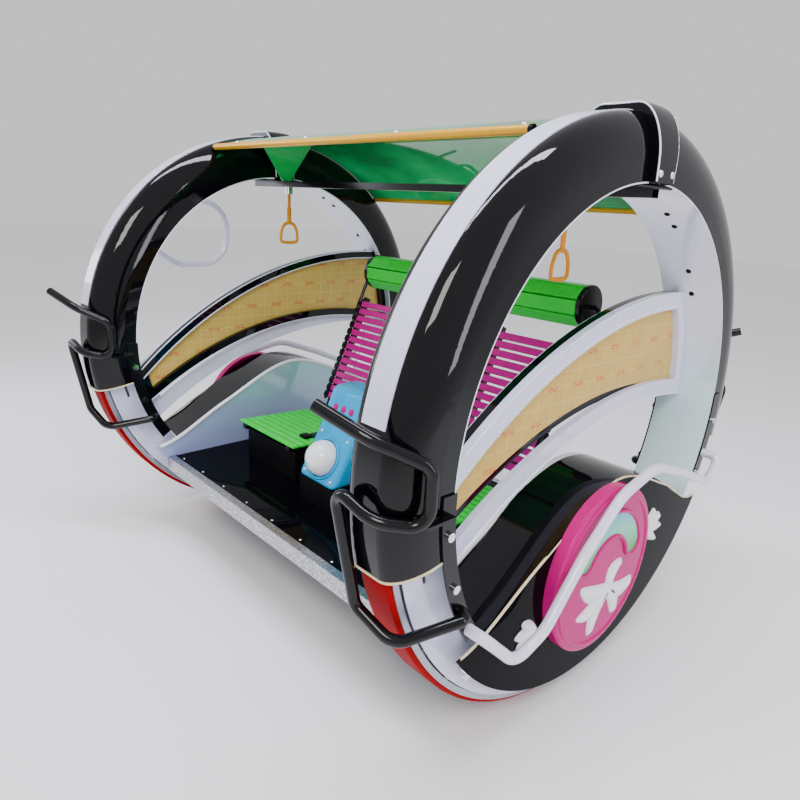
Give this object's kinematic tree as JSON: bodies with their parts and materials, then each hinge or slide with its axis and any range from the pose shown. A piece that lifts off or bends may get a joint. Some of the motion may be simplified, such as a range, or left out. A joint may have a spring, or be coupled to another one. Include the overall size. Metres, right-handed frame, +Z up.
{
  "type": "two-ring rocking ride car",
  "caption": "Self-propelled ride car: a slatted seat platform under a curved roof hangs between two large tyred rings, with side pods, windows, bumper bars and a console.",
  "frame": {"origin": "on the ground under the middle of the car, midway between the two rings", "axes": "+X to the right-hand ring along the rings' common axis, -Y towards the front, +Z up"},
  "size_m": [2.282, 2.0838, 1.876],
  "materials": {
    "tyre_red": "satin red rubber",
    "rim_grey": "satin",
    "roller_white": "smooth nylon",
    "axle_chrome": "polished",
    "drive_rubber": "matt",
    "motor_aluminium": "cast",
    "bearing_iron": "painted",
    "shell_white": "glossy moulding",
    "side_white": "gloss paint",
    "shell_black": "mirror-gloss moulding",
    "frame_white": "gloss paint",
    "film_tan": "printed film on sheet",
    "drum_pink": "glossy moulding",
    "metal_black": "gloss paint",
    "bolt_chrome": "polished",
    "roof_green": "transparent acrylic",
    "bracket_green": "glossy acrylic",
    "trim_gold": "gold lacquer",
    "hanger_steel": "brushed",
    "handle_orange": "moulded",
    "trim_aluminium": "chequered",
    "battery_grey": "moulded",
    "console_blue": "glossy moulding",
    "dome_white": "glossy",
    "slat_green": "glossy moulding",
    "slat_magenta": "glossy moulding",
    "cap_black": "glossy moulding",
    "belt_black": "webbing"
  },
  "bodies": {
    "chassis": {"back_slats": "slat_magenta", "battery_pack": "battery_grey", "bracket_plates": "metal_black", "collars": "shell_black", "console": "console_blue", "crossbar": "metal_black", "crossbar_plates": "metal_black", "crown_bands": "shell_white", "deck": "metal_black", "deck_beams": "metal_black", "deck_trims": "trim_aluminium", "drum_covers": "drum_pink", "fender_left": "shell_black", "fender_right": "shell_black", "front_bull_bars": "metal_black", "gear_motors": "motor_aluminium", "grab_loop": "frame_white", "handle_hangers": "hanger_steel", "handrails": "frame_white", "headrest_caps": "cap_black", "headrest_slats": "slat_green", "liner_left": "shell_white", "liner_right": "shell_white", "pedestal": "metal_black", "plate_bolts": "bolt_chrome", "pod_inner_plates": "shell_white", "pod_outer_plates": "shell_black", "pod_tops": "shell_black", "rear_bull_bars": "metal_black", "roller_axles": "axle_chrome", "roof_brackets": "bracket_green", "roof_panel": "roof_green", "roof_trims": "trim_gold", "seat_belts": "belt_black", "seat_frame_left": "metal_black", "seat_frame_right": "metal_black", "seat_skirts": "metal_black", "seat_slats": "slat_green", "shaft_bearings": "bearing_iron", "side_plates_left": "side_white", "side_plates_right": "side_white", "window_frame_left": "frame_white", "window_frame_right": "frame_white", "window_inner_frames": "shell_black", "window_panels": "film_tan"},
    "wheel_left": {"tyre_left": "tyre_red", "rim_left": "rim_grey"},
    "roller_top_left": {"roller_top_left": "roller_white"},
    "roller_front_left": {"roller_front_left": "roller_white"},
    "roller_rear_left": {"roller_rear_left": "roller_white"},
    "drive_wheel_left": {"drive_wheel_left": "drive_rubber"},
    "hanging_handle_left": {"hanging_handle_left": "handle_orange"},
    "wheel_right": {"tyre_right": "tyre_red", "rim_right": "rim_grey"},
    "roller_top_right": {"roller_top_right": "roller_white"},
    "roller_front_right": {"roller_front_right": "roller_white"},
    "roller_rear_right": {"roller_rear_right": "roller_white"},
    "drive_wheel_right": {"drive_wheel_right": "drive_rubber"},
    "hanging_handle_right": {"hanging_handle_right": "handle_orange"},
    "dome_button": {"dome_button": "dome_white"}
  },
  "joints": [
    {"name": "wheel_left_turn", "type": "hinge", "parent": "chassis", "child": "wheel_left", "pos_m": [-0.944, 0, 0.92], "axis": [1, 0, 0], "continuous": true},
    {"name": "roller_top_left_turn", "type": "hinge", "parent": "chassis", "child": "roller_top_left", "pos_m": [-0.944, 0, 1.7656], "axis": [1, 0, 0], "continuous": true},
    {"name": "roller_front_left_turn", "type": "hinge", "parent": "chassis", "child": "roller_front_left", "pos_m": [-0.944, -0.60827, 0.3326], "axis": [1, 0, 0], "continuous": true},
    {"name": "roller_rear_left_turn", "type": "hinge", "parent": "chassis", "child": "roller_rear_left", "pos_m": [-0.944, 0.60827, 0.3326], "axis": [1, 0, 0], "continuous": true},
    {"name": "drive_wheel_left_turn", "type": "hinge", "parent": "chassis", "child": "drive_wheel_left", "pos_m": [-0.944, 0, 0.2244], "axis": [1, 0, 0], "continuous": true},
    {"name": "hanging_handle_left_swing", "type": "hinge", "parent": "chassis", "child": "hanging_handle_left", "pos_m": [-0.775, 0, 1.60727], "axis": [1, 0, 0], "range_deg": [-80, 80]},
    {"name": "wheel_right_turn", "type": "hinge", "parent": "chassis", "child": "wheel_right", "pos_m": [0.944, 0, 0.92], "axis": [1, 0, 0], "continuous": true},
    {"name": "roller_top_right_turn", "type": "hinge", "parent": "chassis", "child": "roller_top_right", "pos_m": [0.944, 0, 1.7656], "axis": [1, 0, 0], "continuous": true},
    {"name": "roller_front_right_turn", "type": "hinge", "parent": "chassis", "child": "roller_front_right", "pos_m": [0.944, -0.60827, 0.3326], "axis": [1, 0, 0], "continuous": true},
    {"name": "roller_rear_right_turn", "type": "hinge", "parent": "chassis", "child": "roller_rear_right", "pos_m": [0.944, 0.60827, 0.3326], "axis": [1, 0, 0], "continuous": true},
    {"name": "drive_wheel_right_turn", "type": "hinge", "parent": "chassis", "child": "drive_wheel_right", "pos_m": [0.944, 0, 0.2244], "axis": [1, 0, 0], "continuous": true},
    {"name": "hanging_handle_right_swing", "type": "hinge", "parent": "chassis", "child": "hanging_handle_right", "pos_m": [0.775, 0, 1.60727], "axis": [1, 0, 0], "range_deg": [-80, 80]},
    {"name": "dome_button_press", "type": "slide", "parent": "chassis", "child": "dome_button", "axis": [0, 0.8812, -0.4728], "range_m": [0, 0.006], "stiffness_N_per_m": 2000, "springref_m": -0.006}
  ],
  "couplings": [
    {"joint": "roller_top_left_turn", "follows": "wheel_left_turn", "ratio": 21.143},
    {"joint": "roller_front_left_turn", "follows": "wheel_left_turn", "ratio": 21.143},
    {"joint": "roller_rear_left_turn", "follows": "wheel_left_turn", "ratio": 21.143},
    {"joint": "drive_wheel_left_turn", "follows": "wheel_left_turn", "ratio": 4.625},
    {"joint": "roller_top_right_turn", "follows": "wheel_right_turn", "ratio": 21.143},
    {"joint": "roller_front_right_turn", "follows": "wheel_right_turn", "ratio": 21.143},
    {"joint": "roller_rear_right_turn", "follows": "wheel_right_turn", "ratio": 21.143},
    {"joint": "drive_wheel_right_turn", "follows": "wheel_right_turn", "ratio": 4.625}
  ]
}
